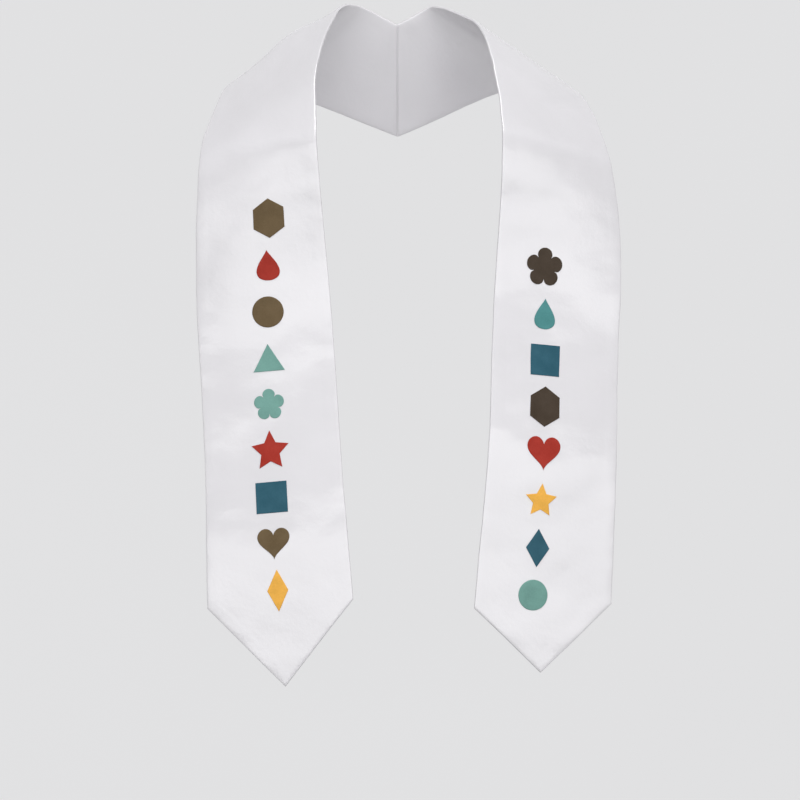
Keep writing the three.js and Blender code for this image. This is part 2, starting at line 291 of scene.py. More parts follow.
def moved(x, y, z):
    whole = np.eye(4)
    whole[:3, 3] = (x, y, z)
    return whole


class Half:
    """One half of the stole. Its flat pattern has x along it from the nape, y across it from the inner edge
    to the outer one, and z out of its face. side is 1 for the right half and -1 for the left one."""

    def __init__(self, name, side, bends, folds, settling, swells, drops, prints, lowest):
        self.name = name
        self.side = side
        self.bends = bends
        self.folds = folds
        self.settling = settling
        self.swells = swells
        self.drops = drops
        self.prints = prints
        self.lowest = lowest
        self.strips = self.bent_strips()

    def bend_run(self, at):
        return HALF_LENGTH * read_column(self.bends, "run", at)

    def bent_strips(self):
        """Where each narrow strip of the pattern lies once it is bent, from the nape to the tip."""
        mitre = math.atan2(MITRE_RUN, NAPE_WIDTH)
        lean = math.radians(NAPE_LEAN)
        sideways = np.array((1.0, 0.0, 0.0))
        down = np.array((0.0, math.sin(lean), -math.cos(lean)))
        along = sideways * math.cos(mitre) - down * math.sin(mitre)
        across = sideways * math.sin(mitre) + down * math.cos(mitre)
        strip = np.eye(4)
        strip[:3, :3] = np.column_stack((along, across, np.cross(along, across)))
        seam_top = strip[:3, :3] @ np.array((MITRE_RUN / 2, -NAPE_WIDTH / 2, 0))
        strip[:3, 3] = np.array((GAP / 2, NAPE_BACK, NAPE_RISE)) - seam_top
        at = np.arange(BEND_STEPS + 1) / BEND_STEPS
        turn = np.radians(read_column(self.bends, "turn", at))
        lines = np.column_stack((-self.bend_run(at), flat_width(at), np.zeros_like(at)))
        lines /= np.linalg.norm(lines, axis=1)[:, None]
        strips = [strip]
        for step in range(1, BEND_STEPS + 1):
            reach = at[step] * HALF_LENGTH
            further = turned(lines[step], turn[step] - turn[step - 1])
            bend = moved(reach, 0, 0) @ further @ moved(-reach, 0, 0)
            strips.append(strips[-1] @ bend)
        return np.array(strips)

    def bend_line_through(self, along, across):
        near = np.zeros_like(along)
        far = np.ones_like(along)
        for _ in range(30):
            at = (near + far) / 2
            reached = at * HALF_LENGTH - across / flat_width(at) * self.bend_run(at)
            near = np.where(reached < along, at, near)
            far = np.where(reached < along, far, at)
        return (near + far) / 2

    def bent_points(self, along, across, out):
        """Where points of the flat pattern, out from its mid-surface, lie on the worn stole, in metres."""
        step = self.bend_line_through(along, across) * BEND_STEPS
        first = np.minimum(np.floor(step).astype(int), BEND_STEPS - 1)
        part = (step - first)[:, None]
        flat = np.column_stack((along, across, out, np.ones_like(along)))
        here = np.einsum("nij,nj->ni", self.strips[first], flat)[:, :3]
        there = np.einsum("nij,nj->ni", self.strips[first + 1], flat)[:, :3]
        points = here + (there - here) * part
        points[:, 0] = self.side * points[:, 0] - NAPE_SHIFT
        settled = SETTLE * read_column(self.settling, "back", along / HALF_LENGTH)
        points[:, 1] += settled + self.swell(along, across)
        return points * MM

    def swell(self, along, across):
        """How far back the slow swells of the hanging satin carry it."""
        back = np.zeros_like(along)
        for at, middle, reach, spread, rise in self.swells:
            off = (along / HALF_LENGTH - at) / spread
            on = (across / HEM_WIDTH - middle) / reach
            back = back + rise * np.exp(-off * off - on * on)
        return back

    def relief(self, along, across):
        """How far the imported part's mid-surface stands out: the hanging panel's crown and the folds."""
        at = along / HALF_LENGTH
        edge = 2 * across / flat_width(at)
        out = CROWN * (1 - edge * edge) * smoothstep(at, CROWN_STARTS, CROWN_FULL)
        for fold_at, fold_across, slant, reach, spread, rise in self.folds:
            slant = math.radians(slant)
            ahead = along - fold_at * HALF_LENGTH
            aside = across - fold_across * HEM_WIDTH
            off = (ahead * math.cos(slant) - aside * math.sin(slant)) / (spread * HEM_WIDTH)
            on = (ahead * math.sin(slant) + aside * math.cos(slant)) / (reach * HEM_WIDTH)
            out = out + rise * FOLD_RISE * np.exp(-off * off - on * on)
        return out

    def handling(self, along, across, cloth):
        """The small unevenness of made-up satin: soft creases all over, puckers beside the edge seams."""
        from_edge = flat_width(along / HALF_LENGTH) / 2 - np.abs(across)
        wave = cloth.crease_size / MM
        soft, pull = [], []
        for a, b in zip(along, across):
            coarse = noise.noise(Vector((a / wave, b / wave / CREASE_STRETCH, CREASE_PLACE * self.side)))
            finer = (FINE_ALONG * a / wave, FINE_ACROSS * b / wave, FINE_PLACE * self.side)
            fine = noise.noise(Vector(finer))
            soft.append(coarse + FINE_CREASE * fine)
            place = PUCKER_PLACE * self.side + np.sign(b)
            pull.append(noise.noise(Vector((a / PUCKER_PITCH, place, b / PUCKER_RUN))))
        fading = np.exp(-np.maximum(from_edge, 0) / PUCKER_REACH)
        return (cloth.crease_rise * np.array(soft) + cloth.pucker_rise * np.array(pull) * fading) / MM

    def surface(self, along, across, cloth):
        return self.relief(along, across) + self.handling(along, across, cloth)


HALVES = (
    Half(
        "left_half", -1, LEFT_BENDS, LEFT_FOLDS, LEFT_SETTLING, LEFT_SWELLS, LEFT_DROPS, LEFT_PRINTS,
        LEFT_LOWEST),
    Half(
        "right_half", 1, RIGHT_BENDS, RIGHT_FOLDS, RIGHT_SETTLING, RIGHT_SWELLS, RIGHT_DROPS, RIGHT_PRINTS,
        RIGHT_LOWEST),
)


class StoleCloth(bpy.types.PropertyGroup):
    satin_color: FloatVectorProperty(
        name="Satin colour", description="Colour of the satin", subtype="COLOR", size=3, min=0, max=1,
        default=(0.76, 0.747, 0.776))
    thread_pitch: FloatProperty(
        name="Thread pitch", description="From one warp thread of the satin to the next", unit="LENGTH",
        subtype="DISTANCE", min=0.0001, max=0.002, default=0.0003)
    cell: FloatProperty(
        name="Cell", description="Side of the cells that the cloth is drawn with", unit="LENGTH",
        subtype="DISTANCE", min=0.001, max=0.01, default=0.0024)
    crease_size: FloatProperty(
        name="Crease size", description="How far apart the soft creases of the satin are", unit="LENGTH",
        subtype="DISTANCE", min=0.005, max=0.1, default=0.03)
    crease_rise: FloatProperty(
        name="Crease rise", description="How high the soft creases of the satin are", unit="LENGTH",
        subtype="DISTANCE", min=0, max=0.003, default=0.0008)
    pucker_rise: FloatProperty(
        name="Pucker rise", description="How high the puckers beside the edge seams are", unit="LENGTH",
        subtype="DISTANCE", min=0, max=0.002, default=0.0003)
    allowance: FloatProperty(
        name="Seam allowance", description="Width of the turned-in cloth, a ridge beside each edge",
        unit="LENGTH", subtype="DISTANCE", min=0.003, max=0.02, default=0.0095)
    allowance_rise: FloatProperty(
        name="Seam allowance rise", description="How far the turned-in cloth lifts each face",
        unit="LENGTH", subtype="DISTANCE", min=0, max=0.001, default=0.00014)


class StoleInks(bpy.types.PropertyGroup):
    film: FloatProperty(
        name="Film", description="Thickness of the printed film", unit="LENGTH", subtype="DISTANCE",
        min=0.0001, max=0.001, default=0.00025)
    lift: FloatProperty(
        name="Lift", description="Clear space between the cloth and the printed film", unit="LENGTH",
        subtype="DISTANCE", min=0.00005, max=0.0005, default=0.00012)
    brown: FloatVectorProperty(
        name="Brown", description="Colour of the brown ink", subtype="COLOR", size=3, min=0, max=1,
        default=(0.130, 0.086, 0.038))
    umber: FloatVectorProperty(
        name="Umber", description="Colour of the umber ink", subtype="COLOR", size=3, min=0, max=1,
        default=(0.048, 0.031, 0.018))
    red: FloatVectorProperty(
        name="Red", description="Colour of the red ink", subtype="COLOR", size=3, min=0, max=1,
        default=(0.364, 0.022, 0.010))
    sage: FloatVectorProperty(
        name="Sage", description="Colour of the sage ink", subtype="COLOR", size=3, min=0, max=1,
        default=(0.163, 0.346, 0.303))
    teal: FloatVectorProperty(
        name="Teal", description="Colour of the teal ink", subtype="COLOR", size=3, min=0, max=1,
        default=(0.067, 0.247, 0.248))
    petrol: FloatVectorProperty(
        name="Petrol", description="Colour of the petrol ink", subtype="COLOR", size=3, min=0, max=1,
        default=(0.019, 0.096, 0.139))
    amber: FloatVectorProperty(
        name="Amber", description="Colour of the amber ink", subtype="COLOR", size=3, min=0, max=1,
        default=(0.895, 0.460, 0.066))


class StoleNape(bpy.types.PropertyGroup):
    thread_color: FloatVectorProperty(
        name="Thread colour", description="Colour of the sewing thread", subtype="COLOR", size=3,
        min=0, max=1, default=(0.80, 0.78, 0.82))
    stitch_pitch: FloatProperty(
        name="Stitch pitch", description="From one stitch of the nape seam to the next", unit="LENGTH",
        subtype="DISTANCE", min=0.001, max=0.01, default=0.0026)
    stitch_length: FloatProperty(
        name="Stitch length", description="Length of a stitch across the nape seam", unit="LENGTH",
        subtype="DISTANCE", min=0.001, max=0.006, default=0.0022)
    thread_width: FloatProperty(
        name="Thread width", description="Width of the sewing thread", unit="LENGTH", subtype="DISTANCE",
        min=0.0001, max=0.001, default=0.00036)
    wander_seed: IntProperty(
        name="Wander seed", description="Picks how the stitches stray from an even row", min=0, default=7)


class StoleStudio(bpy.types.PropertyGroup):
    floor_color: FloatVectorProperty(
        name="Floor colour", description="Colour of the floor and the backdrop", subtype="COLOR", size=3,
        min=0, max=1, default=(0.88, 0.88, 0.89))
    floor_drop: FloatProperty(
        name="Floor drop", description="From the middle of the neck down to the floor", unit="LENGTH",
        subtype="DISTANCE", min=0.6, max=2, default=1.25)
    key_power: FloatProperty(
        name="Key power", description="Power of the main soft light", unit="POWER", min=0, default=53)
    top_power: FloatProperty(
        name="Top power", description="Power of the soft light above", unit="POWER", min=0, default=40)
    back_power: FloatProperty(
        name="Back power", description="Power of the soft light behind", unit="POWER", min=0, default=60)
    room_light: FloatProperty(
        name="Room light", description="Strength of the even light from all round", min=0, default=0.35)


class NodeTree:
    """A node tree that is built one node at a time."""

    def __init__(self, tree):
        self.tree = tree

    def node(self, kind, inputs=(), **settings):
        made = self.tree.nodes.new(kind)
        for key, value in settings.items():
            setattr(made, key, value)
        for key, value in dict(inputs).items():
            if isinstance(value, bpy.types.NodeSocket):
                self.tree.links.new(value, made.inputs[key])
            else:
                made.inputs[key].default_value = value
        return made

    def math(self, operation, first, second=0.0):
        return self.node("ShaderNodeMath", {0: first, 1: second}, operation=operation).outputs[0]


def new_group(name, kind, inputs, outputs):
    """An empty node group with its sockets, each given as (name, socket type, default)."""
    group = bpy.data.node_groups.new(name, kind)
    for socket, socket_type, default in inputs:
        made = group.interface.new_socket(name=socket, in_out="INPUT", socket_type=socket_type)
        if default is not None:
            made.default_value = default
    for socket, socket_type in outputs:
        group.interface.new_socket(name=socket, in_out="OUTPUT", socket_type=socket_type)
    return NodeTree(group)


def weave_group():
    """Satin weave: long floats of the warp threads, each bound down once in five picks."""
    tree = new_group(
        "satin weave", "ShaderNodeTree",
        [("Flat", "NodeSocketVector", None), ("Threads per metre", "NodeSocketFloat", 3000.0)],
        [("Height", "NodeSocketFloat"), ("Streak", "NodeSocketFloat")])
    source = tree.node("NodeGroupInput")
    flat = tree.node("ShaderNodeSeparateXYZ", {0: source.outputs["Flat"]})
    threads = tree.math("MULTIPLY", flat.outputs["X"], source.outputs["Threads per metre"])
    picks = tree.math("MULTIPLY", flat.outputs["Y"], source.outputs["Threads per metre"])
    number = tree.math("FLOOR", threads)
    rounded = tree.math("ABSOLUTE", tree.math("SINE", tree.math("MULTIPLY", threads, math.pi)))
    stepped = tree.math("ADD", picks, tree.math("MULTIPLY", number, 2.0))
    float_wave = tree.math("ABSOLUTE", tree.math("SINE", tree.math("MULTIPLY", stepped, math.pi / 5)))
    bound = tree.math("POWER", float_wave, 0.25)
    height = tree.math("MULTIPLY", rounded, bound)
    stretched = tree.node("ShaderNodeMapping", {
        "Vector": source.outputs["Flat"], "Scale": (900.0, 14.0, 1.0)})
    streaks = tree.node("ShaderNodeTexNoise", {
        "Vector": stretched.outputs[0], "Scale": 1.0, "Detail": 3.0, "Roughness": 0.6})
    tree.node("NodeGroupOutput", {"Height": height, "Streak": streaks.outputs[0]})
    return tree.tree


def mottle_group():
    """Slow changes of tone over a surface, and a finer grain on top of them, both between 0 and 1."""
    tree = new_group(
        "mottle", "ShaderNodeTree",
        [
            ("Place", "NodeSocketVector", None),
            ("Patch", "NodeSocketFloat", 0.05),
            ("Grain", "NodeSocketFloat", 0.002),
        ],
        [("Patches", "NodeSocketFloat"), ("Grains", "NodeSocketFloat")])
    source = tree.node("NodeGroupInput")
    place = source.outputs["Place"]
    patch = tree.math("DIVIDE", 1.0, source.outputs["Patch"])
    grain = tree.math("DIVIDE", 1.0, source.outputs["Grain"])
    patches = tree.node("ShaderNodeTexNoise", {"Vector": place, "Scale": patch, "Detail": 2.0})
    grains = tree.node("ShaderNodeTexNoise", {"Vector": place, "Scale": grain, "Detail": 2.0})
    tree.node("NodeGroupOutput", {"Patches": patches.outputs[0], "Grains": grains.outputs[0]})
    return tree.tree


def shared_group(name, build):
    return bpy.data.node_groups.get(name) or build()


def new_material(name, color):
    """A material with its Principled BSDF, ready for the nodes that shape it."""
    material = bpy.data.materials.new(name)
    material.use_nodes = True
    material.diffuse_color = (*color, 1)
    tree = NodeTree(material.node_tree)
    shader = material.node_tree.nodes["Principled BSDF"]
    return material, tree, shader


def link(tree, output, shader, socket):
    tree.tree.links.new(output, shader.inputs[socket])


def spread(tree, value, low, high):
    """Maps a noise value, which keeps near the middle, to a range."""
    return tree.node("ShaderNodeMapRange", {"Value": value, 1: 0.3, 2: 0.7, 3: low, 4: high}).outputs[0]


def tones(tree, factor, dark, light):
    """A colour between two others, by a mask."""
    mix = tree.node("ShaderNodeMix", {0: factor}, data_type="RGBA")
    mix.inputs[6].default_value = (*dark, 1)
    mix.inputs[7].default_value = (*light, 1)
    return mix.outputs[2]


def satin_weave(tree, cloth):
    """The outputs of a satin weave that follows the flat pattern."""
    flat = tree.node("ShaderNodeUVMap", uv_map="Flat").outputs[0]
    weave = tree.node("ShaderNodeGroup", node_tree=shared_group("satin weave", weave_group))
    tree.tree.links.new(flat, weave.inputs["Flat"])
    weave.inputs["Threads per metre"].default_value = 1 / cloth.thread_pitch
    return weave.outputs


def mottling(tree, patch, grain):
    """The outputs of a mottle with patches and grains of these sizes, in metres."""
    place = tree.node("ShaderNodeTexCoord").outputs["Object"]
    mottle = tree.node("ShaderNodeGroup", node_tree=shared_group("mottle", mottle_group))
    tree.tree.links.new(place, mottle.inputs["Place"])
    mottle.inputs["Patch"].default_value = patch
    mottle.inputs["Grain"].default_value = grain
    return mottle.outputs


def satin_material(cloth):
    """Lilac-white satin: fine floats, slow changes of tone, faint streaks along the warp, a soft sheen, and
    painted shade of the weave that makes the crowns of the floats lighter in colour and the gaps between
    them darker.
    """
    color = Vector(cloth.satin_color)
    material, tree, shader = new_material("white satin", color)
    weave = satin_weave(tree, cloth)
    mottle = mottling(tree, 0.06, 0.004)
    patchy = spread(tree, mottle["Patches"], 0.15, 0.75)
    tone = tree.math("ADD", patchy, spread(tree, weave["Streak"], -0.05, 0.05))
    # Painted shade: the weave's height lightens the colour on the raised floats and darkens it between the
    # threads and at the binding points.
    tone = tree.math("ADD", tone, tree.math("MULTIPLY", weave["Height"], 0.15))
    link(tree, tones(tree, tone, color * 0.955, color * 1.02), shader, "Base Color")
    streaky = spread(tree, weave["Streak"], 0.195, 0.215)
    rough = tree.math("ADD", streaky, spread(tree, mottle["Patches"], -0.01, 0.01))
    link(tree, rough, shader, "Roughness")
    uneven = tree.node("ShaderNodeBump", {"Strength": 0.35, "Distance": 0.0004, "Height": mottle["Grains"]})
    woven = tree.node("ShaderNodeBump", {
        "Strength": 0.25, "Distance": 0.00005, "Height": weave["Height"], "Normal": uneven.outputs[0]})
    link(tree, woven.outputs[0], shader, "Normal")
    shader.inputs["IOR"].default_value = 1.6
    shader.inputs["Specular IOR Level"].default_value = 1.0
    shader.inputs["Sheen Weight"].default_value = 0.15
    shader.inputs["Sheen Roughness"].default_value = 0.35
    return material


def ink_material(name, color, cloth):
    """Printed ink: a thin matt film that takes a little of the weave and is not quite even."""
    color = Vector(color)
    material, tree, shader = new_material(name + " ink", color)
    weave = satin_weave(tree, cloth)
    mottle = mottling(tree, 0.012, 0.0012)
    patchy = spread(tree, mottle["Patches"], 0.1, 0.7)
    tone = tree.math("ADD", patchy, spread(tree, mottle["Grains"], 0.0, 0.3))
    light = color * 1.12 + Vector((0.012, 0.012, 0.012))
    link(tree, tones(tree, tone, color * 0.86, light), shader, "Base Color")
    uneven = spread(tree, mottle["Patches"], 0.46, 0.56)
    rough = tree.math("ADD", uneven, spread(tree, mottle["Grains"], -0.05, 0.05))
    link(tree, rough, shader, "Roughness")
    woven = tree.node("ShaderNodeBump", {"Strength": 0.2, "Distance": 0.00004, "Height": weave["Height"]})
    link(tree, woven.outputs[0], shader, "Normal")
    shader.inputs["Specular IOR Level"].default_value = 0.15
    return material


def thread_material(nape):
    """Sewing thread: two plies that twist round each other, with painted shade that darkens the grooves
    between them.
    """
    color = Vector(nape.thread_color)
    material, tree, shader = new_material("sewing thread", color)
    place = tree.node("ShaderNodeTexCoord").outputs["Object"]
    wave = tree.node("ShaderNodeTexWave", {"Vector": place, "Scale": 900.0, "Distortion": 1.0})
    wave.bands_direction = "DIAGONAL"
    plies = wave.outputs["Fac"]
    # Painted shade: the colour darkens where the plies dip into the grooves between them, the same places
    # the bump lowers.
    link(tree, tones(tree, plies, color * 0.85, color), shader, "Base Color")
    link(tree, tree.math("ADD", 0.45, tree.math("MULTIPLY", plies, 0.15)), shader, "Roughness")
    twisted = tree.node("ShaderNodeBump", {"Strength": 0.5, "Distance": 0.0001, "Height": plies})
    link(tree, twisted.outputs[0], shader, "Normal")
    shader.inputs["Sheen Weight"].default_value = 0.2
    return material


def studio_material(studio):
    """Pale paper for the floor and the backdrop, which glows evenly and so stays plain from every side."""
    color = Vector(studio.floor_color)
    material, tree, shader = new_material("pale paper", color)
    mottle = mottling(tree, 1.2, 0.01)
    link(tree, tones(tree, mottle["Patches"], color * 0.24, color * 0.26), shader, "Base Color")
    link(tree, tones(tree, mottle["Patches"], color * 0.99, color * 1.01), shader, "Emission Color")
    grain = tree.node("ShaderNodeBump", {"Strength": 0.05, "Distance": 0.0005, "Height": mottle["Grains"]})
    link(tree, grain.outputs[0], shader, "Normal")
    shader.inputs["Roughness"].default_value = 0.9
    shader.inputs["Specular IOR Level"].default_value = 0.1
    shader.inputs["Emission Strength"].default_value = 0.73
    return material


def shared_material(name, build):
    return bpy.data.materials.get(name) or build()


def new_piece(name, points, faces, flat, material):
    """A closed smooth mesh with its place in its points and the flat pattern as its UV map."""
    mesh = bpy.data.meshes.new(name)
    mesh.from_pydata(points.tolist(), [], faces)
    mesh.polygons.foreach_set("use_smooth", [True] * len(mesh.polygons))
    corners = np.zeros(len(mesh.loops), int)
    mesh.loops.foreach_get("vertex_index", corners)
    mesh.uv_layers.new(name="Flat").data.foreach_set("uv", flat[corners].ravel())
    mesh.materials.append(material)
    mesh.validate()
    piece = bpy.data.objects.new(name, mesh)
    bpy.context.scene.collection.objects.link(piece)
    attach(piece, "root")
    return piece


def edge_to_edge(length, cell, far_slope=1.0):
    """Places from one edge to the other, close together in the rounded edges: distance from the near edge,
    and height there as a share of half the thickness. far_slope stretches the part at the far edge where
    that runs aslant."""
    insets = np.array([inset for inset, _ in EDGE_SECTION])
    heights = np.array([height for _, height in EDGE_SECTION])
    far = length - far_slope * insets[::-1]
    between = np.linspace(insets[-1], far[0], 2 * round(length / cell / 2) + 1)[1:-1]
    level = np.ones(len(between))
    return np.concatenate((insets, between, far)), np.concatenate((heights, level, heights[::-1]))


def flat_places(along, across):
    """Where points of the flat pattern lie in the UV map."""
    return (np.column_stack((across, along)) + FLAT_CORNER) * MM


def cloth_piece(half, cloth, material):
    """One half: face and lining joined along the outline, rounded edges and a ridge beside them."""
    cell = cloth.cell / MM
    hem_slope = math.hypot(1, 2 * POINT_DEPTH / HEM_WIDTH)
    rows, row_heights = edge_to_edge(HALF_LENGTH, cell, hem_slope)
    columns, column_heights = edge_to_edge(HEM_WIDTH, cell)
    at, across_share = np.meshgrid(rows / HALF_LENGTH, columns / HEM_WIDTH - 0.5, indexing="ij")
    height = np.minimum(*np.meshgrid(row_heights, column_heights, indexing="ij"))
    pointed = smoothstep(at, POINT_STARTS, 1)
    width = flat_width(at)
    inset = HEM_WIDTH * (0.5 - np.abs(across_share))
    near_edge = np.sign(across_share) * (width / 2 - inset)
    across = np.where(inset < EDGE_BAND, near_edge, across_share * width)
    share = across / width
    back = share * half.bend_run(at) * (1 - pointed) + np.abs(2 * share) * POINT_DEPTH * pointed
    tip, inner_corner, outer_corner = half.drops
    corner = np.where(share < 0, inner_corner, outer_corner)
    drop = tip + (corner - tip) * np.abs(2 * share)
    along = at * HALF_LENGTH - back + drop * smoothstep(at, DROP_STARTS, 1)
    from_hem = (1 - at) * HALF_LENGTH / hem_slope
    from_edge = np.minimum(np.minimum(width / 2 - np.abs(across), from_hem), at * HALF_LENGTH)
    fall_starts, fall_ends = (cloth.allowance / MM + reach for reach in RIDGE_FAR)
    rising = smoothstep(from_edge, *RIDGE_NEAR)
    ridge = cloth.allowance_rise / MM * rising * (1 - smoothstep(from_edge, fall_starts, fall_ends))
    half_thick = height * CLOTH / 2 + ridge * (height > 0)
    along, across, half_thick = along.ravel(), across.ravel(), half_thick.ravel()
    middle = half.surface(along, across, cloth)
    face = half.bent_points(along, across, middle + half_thick)
    lining = half.bent_points(along, across, middle - half_thick)
    count = at.size
    on_seam = (height == 0).ravel()
    top = np.arange(count).reshape(at.shape)
    kept = np.flatnonzero(~on_seam)
    under = np.arange(count)
    under[kept] = count + np.arange(len(kept))
    under = under.reshape(at.shape)
    faces = []
    for sheet, turn in ((top, half.side), (under, -half.side)):
        corners = (sheet[:-1, :-1], sheet[1:, :-1], sheet[1:, 1:], sheet[:-1, 1:])
        quads = np.stack(corners, axis=-1).reshape(-1, 4)
        faces.extend((quads if turn > 0 else quads[:, ::-1]).tolist())
    points = np.concatenate((face, lining[kept]))
    flat = flat_places(along, across)
    flat = np.concatenate((flat, flat[kept] + (LINING_ASIDE, 0)))
    return new_piece(half.name + ".satin", points, faces, flat, material)


def around(count, radius):
    """Corner points at even angles about the middle, the first at the top."""
    points = []
    for n in range(count):
        angle = 2 * math.pi * n / count
        points.append((radius(n, angle) * math.sin(angle), radius(n, angle) * math.cos(angle)))
    return points


def split_sides(corners, parts):
    """Splits each side of an outline into equal parts."""
    points = []
    for n, (x, y) in enumerate(corners):
        next_x, next_y = corners[(n + 1) % len(corners)]
        for part in range(parts):
            points.append((x + (next_x - x) * part / parts, y + (next_y - y) * part / parts))
    return points


def heart_point(turn):
    rise = 13 * math.cos(turn) - 5 * math.cos(2 * turn) - 2 * math.cos(3 * turn) - math.cos(4 * turn)
    return math.sin(turn) ** 3, (rise + 2.5) / 14.5


def drop_point(turn):
    return 1.3 * math.sin(turn) * abs(math.sin(turn / 2)) ** 1.5, math.cos(turn)


def on_curve(count, curve):
    return [curve(2 * math.pi * n / count) for n in range(count)]


# Outlines of the printed shapes, in a square from -1 to 1 with y towards the nape
OUTLINES = {
    "disc": around(96, lambda n, angle: 1),
    "flower": around(120, lambda n, angle: 0.58 + 0.42 * math.sqrt(abs(math.cos(2.5 * angle)))),
    "star": split_sides(around(10, lambda n, angle: 0.5 if n % 2 else 1), 10),
    "hexagon": split_sides(around(6, lambda n, angle: 1), 16),
    "diamond": split_sides(around(4, lambda n, angle: 1), 24),
    "square": split_sides([(-1, 1), (1, 1), (1, -1), (-1, -1)], 24),
    "triangle": split_sides([(0, 1), (1, -0.9), (-1, -0.9)], 32),
    "drop": on_curve(96, drop_point),
    "heart": on_curve(96, heart_point),
}


def print_piece(half, shape, wide, tall, share_across, along, cloth, inks, material):
    """One printed shape: a thin film that lies just clear of the cloth and follows it."""
    outline = np.array(OUTLINES[shape])
    rings = np.array([ring for ring, _ in FILM_SECTION])[:, None]
    heights = np.array([height for _, height in FILM_SECTION])[:, None]
    ahead = along - rings * outline[:, 1] * tall * PRINT_SIZE / 2
    aside = share_across * HEM_WIDTH + half.side * rings * outline[:, 0] * wide * PRINT_SIZE / 2
    under = CLOTH / 2 + inks.lift / MM
    out = np.broadcast_to(under + heights * inks.film / MM, ahead.shape)
    rows, count = ahead.shape
    index = np.arange(rows * count).reshape(rows, count)
    index[0] = 0
    index[-1] = index[-1, 0]
    ahead, aside, out = ahead.ravel(), aside.ravel(), out.ravel()
    used = np.unique(index)
    number = np.zeros(rows * count, int)
    number[used] = np.arange(len(used))
    index = number[index]
    ahead, aside, out = ahead[used], aside[used], out[used]
    points = half.bent_points(ahead, aside, out + half.surface(ahead, aside, cloth))
    after = np.roll(index, -1, axis=1)
    faces = []
    for row in range(rows - 1):
        for n in range(count):
            corners = [index[row, n], index[row + 1, n], after[row + 1, n], after[row, n]]
            faces.append([int(c) for c in dict.fromkeys(corners)])
    flat = flat_places(ahead, aside)
    return new_piece(f"{half.name.split('_')[0]}_{shape}.print", points, faces, flat, material)


class STOLE_OT_drape_halves(bpy.types.Operator):
    """Cut the two satin halves and drape them over the shoulders"""

    bl_idname = "stole.drape_halves"
    bl_label = "Drape the halves"

    def execute(self, context):
        cloth = context.scene.stole_cloth
        satin = shared_material("white satin", lambda: satin_material(cloth))
        for half in HALVES:
            piece = cloth_piece(half, cloth, satin)
            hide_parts(half.name)
        return {"FINISHED"}


class STOLE_OT_print_shapes(bpy.types.Operator):
    """Print a column of small shapes down each half"""

    bl_idname = "stole.print_shapes"
    bl_label = "Print the shapes"

    def execute(self, context):
        cloth = context.scene.stole_cloth
        inks = context.scene.stole_inks
        for half in HALVES:
            for n, (shape, wide, tall, share_across, ink) in enumerate(half.prints):
                along = HALF_LENGTH - half.lowest - (len(half.prints) - 1 - n) * PRINT_PITCH
                color = getattr(inks, ink)
                material = shared_material(ink + " ink", lambda: ink_material(ink, color, cloth))
                piece = print_piece(half, shape, wide, tall, share_across, along, cloth, inks, material)
                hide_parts(piece.name.split(".")[0])
        return {"FINISHED"}


def stitch_tree(material):
    """Stitches along a path, each a short length of thread that lies across it."""
    tree = new_group(
        "stitches along a path", "GeometryNodeTree",
        [
            ("Geometry", "NodeSocketGeometry", None),
            ("Stitch pitch", "NodeSocketFloat", 0.003),
            ("Stitch length", "NodeSocketFloat", 0.002),
            ("Thread width", "NodeSocketFloat", 0.0004),
            ("Wander", "NodeSocketFloat", 0.15),
            ("Seed", "NodeSocketInt", 0),
        ],
        [("Geometry", "NodeSocketGeometry")])
    source = tree.node("NodeGroupInput")
    path = tree.node("GeometryNodeMeshToCurve", {"Mesh": source.outputs["Geometry"]})
    places = tree.node(
        "GeometryNodeResampleCurve", {"Curve": path.outputs[0], "Length": source.outputs["Stitch pitch"]},
        mode="LENGTH")
    thread = tree.node("GeometryNodeMeshUVSphere", {"Segments": 10, "Rings": 8, "Radius": 0.5})
    width = source.outputs["Thread width"]
    size = tree.node("ShaderNodeCombineXYZ", {0: source.outputs["Stitch length"], 1: width, 2: width})
    shaped = tree.node("GeometryNodeTransform", {
        "Geometry": thread.outputs["Mesh"], "Scale": size.outputs[0]})
    tangent = tree.node("GeometryNodeInputTangent")
    upright = tree.node("FunctionNodeAlignRotationToVector", {"Vector": tangent.outputs[0]}, axis="Z")
    stray = tree.node("FunctionNodeRandomValue", {"Seed": source.outputs["Seed"]}, data_type="FLOAT")
    tree.tree.links.new(source.outputs["Wander"], stray.inputs[3])
    tree.tree.links.new(tree.math("MULTIPLY", source.outputs["Wander"], -1.0), stray.inputs[2])
    slanted = tree.node("ShaderNodeCombineXYZ", {1: stray.outputs[1]})
    slant = tree.node("FunctionNodeEulerToRotation", {0: slanted.outputs[0]})
    turned_by = tree.node("FunctionNodeRotateRotation", {0: upright.outputs[0], 1: slant.outputs[0]})
    turned_by.rotation_space = "LOCAL"
    placed = tree.node("GeometryNodeInstanceOnPoints", {
        "Points": places.outputs[0], "Instance": shaped.outputs[0], "Rotation": turned_by.outputs[0]})
    real = tree.node("GeometryNodeRealizeInstances", {0: placed.outputs[0]})
    smooth = tree.node("GeometryNodeSetShadeSmooth", {0: real.outputs[0]})
    finished = tree.node("GeometryNodeSetMaterial", {"Geometry": smooth.outputs[0]})
    finished.inputs["Material"].default_value = material
    tree.node("NodeGroupOutput", {"Geometry": finished.outputs[0]})
    return tree.tree


def set_input(modifier, name, value):
    """Sets a named input of a nodes modifier."""
    for item in modifier.node_group.interface.items_tree:
        if item.item_type == "SOCKET" and item.in_out == "INPUT" and item.name == name:
            modifier[item.identifier] = value
            return
    raise RuntimeError("the node tree has no input named " + name)


